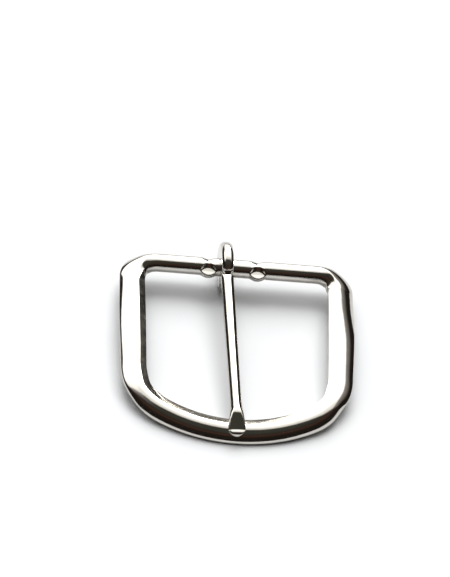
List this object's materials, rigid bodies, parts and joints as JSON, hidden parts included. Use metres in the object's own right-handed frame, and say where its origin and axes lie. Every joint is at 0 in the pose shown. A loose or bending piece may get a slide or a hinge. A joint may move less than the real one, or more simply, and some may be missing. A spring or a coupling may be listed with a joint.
{
  "type": "belt buckle",
  "caption": "Heel-bar belt buckle: an arched D-shaped cast frame with a swinging prong hung on its straight bar, bright nickel plate.",
  "frame": {"origin": "centre of the heel bar, on the bar's axis", "axes": "+X along the heel bar, -Y from the bar towards the bow, +Z out of the show face; the buckle lies face up as on a table, on its bow and on the prong's eye"},
  "size_m": [0.0552, 0.0543, 0.0114],
  "materials": {
    "frame_nickel": "bright nickel plate, polished",
    "prong_nickel": "bright nickel plate, polished"
  },
  "bodies": {
    "frame": {"buckle_frame": "frame_nickel"},
    "prong": {"prong": "prong_nickel"}
  },
  "joints": [
    {"name": "prong_swing", "type": "hinge", "parent": "frame", "child": "prong", "pos_m": [0, 0, 0], "axis": [-1, 0, 0], "range_deg": [0, 180]}
  ]
}
